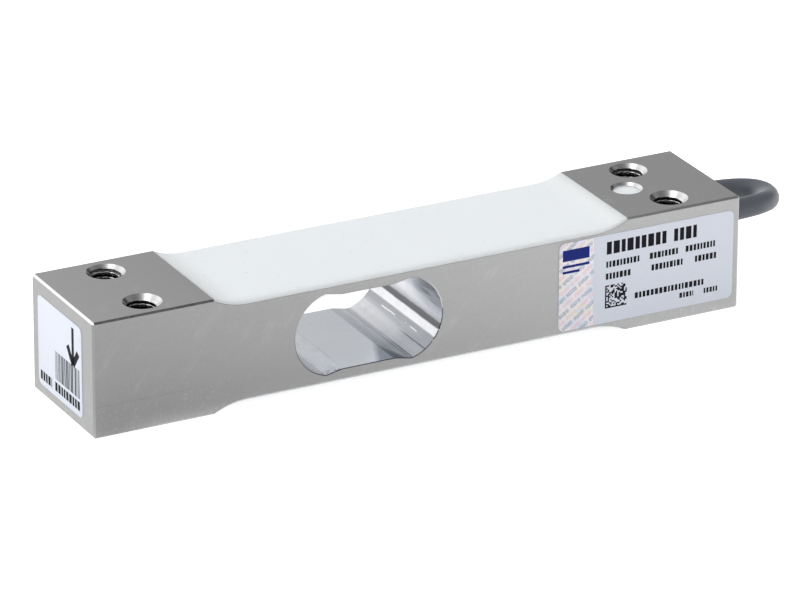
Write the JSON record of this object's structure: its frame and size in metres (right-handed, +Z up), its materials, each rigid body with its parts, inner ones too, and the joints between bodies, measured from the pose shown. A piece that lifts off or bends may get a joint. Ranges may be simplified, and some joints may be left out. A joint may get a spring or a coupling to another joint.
{
  "type": "single point load cell",
  "caption": "Single point load cell: an aluminium beam with a double bore opening, threaded holes in both end blocks, silicone-covered gauges and a round cable.",
  "frame": {"origin": "Centre of the rectangle that the two end blocks stand on, on the resting plane", "axes": "+X along the beam from the load end to the cable end, +Y across it away from the rating label, +Z up through the threaded holes"},
  "size_m": [0.1511, 0.0603, 0.022],
  "materials": {
    "machined_aluminium": "machined and clear anodised, satin",
    "white_silicone": "cast white silicone, satin",
    "gauge_carrier": "amber polyimide",
    "wiring_film": "amber polyimide with tinned tracks",
    "resistor_ceramic": "black glaze with tinned ends",
    "enamelled_wire": "enamelled copper",
    "cable_jacket": "dark grey jacket, satin",
    "label_film": "white printed film",
    "label_foil": "pale foil",
    "tie_band": "black plastic",
    "core_red": "coloured insulation",
    "core_black": "black insulation",
    "core_green": "coloured insulation",
    "core_white": "white insulation",
    "tinned_copper": "tinned"
  },
  "bodies": {
    "root": {"spring_body": "machined_aluminium", "top_silicone_cover": "white_silicone", "bottom_silicone_cover": "white_silicone", "passage_filling": "white_silicone", "cable_seal": "white_silicone", "gauge_top_load_end": "gauge_carrier", "gauge_top_cable_end": "gauge_carrier", "gauge_bottom_load_end": "gauge_carrier", "gauge_bottom_cable_end": "gauge_carrier", "wiring_film": "wiring_film", "solder_strip": "wiring_film", "zero_balance_resistor": "resistor_ceramic", "span_resistor": "resistor_ceramic", "temperature_resistor": "resistor_ceramic", "gauge_wires_top": "enamelled_wire", "gauge_wires_bottom": "enamelled_wire", "cross_wires": "enamelled_wire", "lead_wires": "enamelled_wire", "cable_inner_end": "cable_jacket", "rating_label": "label_film", "foil_strip": "label_foil", "end_label": "label_film", "cable": "cable_jacket", "cable_hank": "cable_jacket", "hank_tie": "tie_band", "cable_tail": "cable_jacket", "core_red": "core_red", "core_black": "core_black", "core_green": "core_green", "core_white": "core_white", "shield_pigtail": "core_black", "core_tips": "tinned_copper"}
  },
  "joints": []
}
